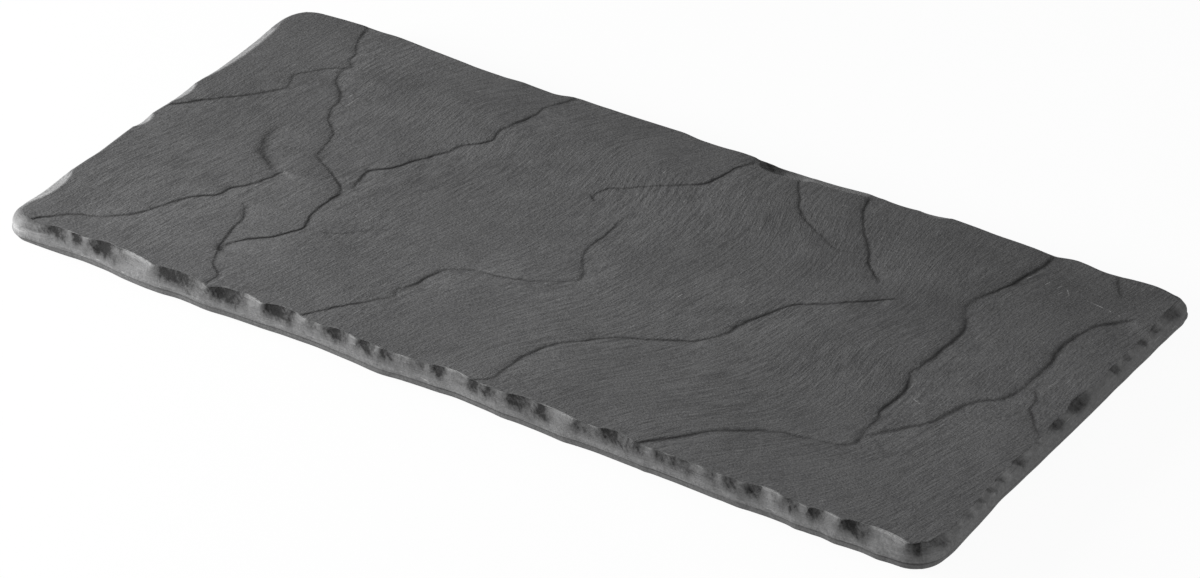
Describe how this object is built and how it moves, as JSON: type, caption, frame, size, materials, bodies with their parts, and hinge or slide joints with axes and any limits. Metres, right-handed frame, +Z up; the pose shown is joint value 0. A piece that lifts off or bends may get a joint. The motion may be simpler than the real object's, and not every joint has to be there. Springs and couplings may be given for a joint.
{
  "type": "serving tray",
  "caption": "Flat rectangular serving tray of matt dark-grey slate-look ceramic, with a riven top and a knapped edge, resting on low stick-on feet.",
  "frame": {"origin": "on the table under the tray's centre", "axes": "+X along the length, -Y towards the near long side of the picture, +Z up"},
  "size_m": [0.2498, 0.1194, 0.009],
  "materials": {
    "slate_ceramic": "matt",
    "foot_rubber": "matt",
    "adhesive_film": "satin"
  },
  "bodies": {
    "root": {"slab": "slate_ceramic", "foot_near_left": "foot_rubber", "foot_near_right": "foot_rubber", "foot_far_left": "foot_rubber", "foot_far_right": "foot_rubber", "adhesive_near_left": "adhesive_film", "adhesive_near_right": "adhesive_film", "adhesive_far_left": "adhesive_film", "adhesive_far_right": "adhesive_film"}
  },
  "joints": []
}
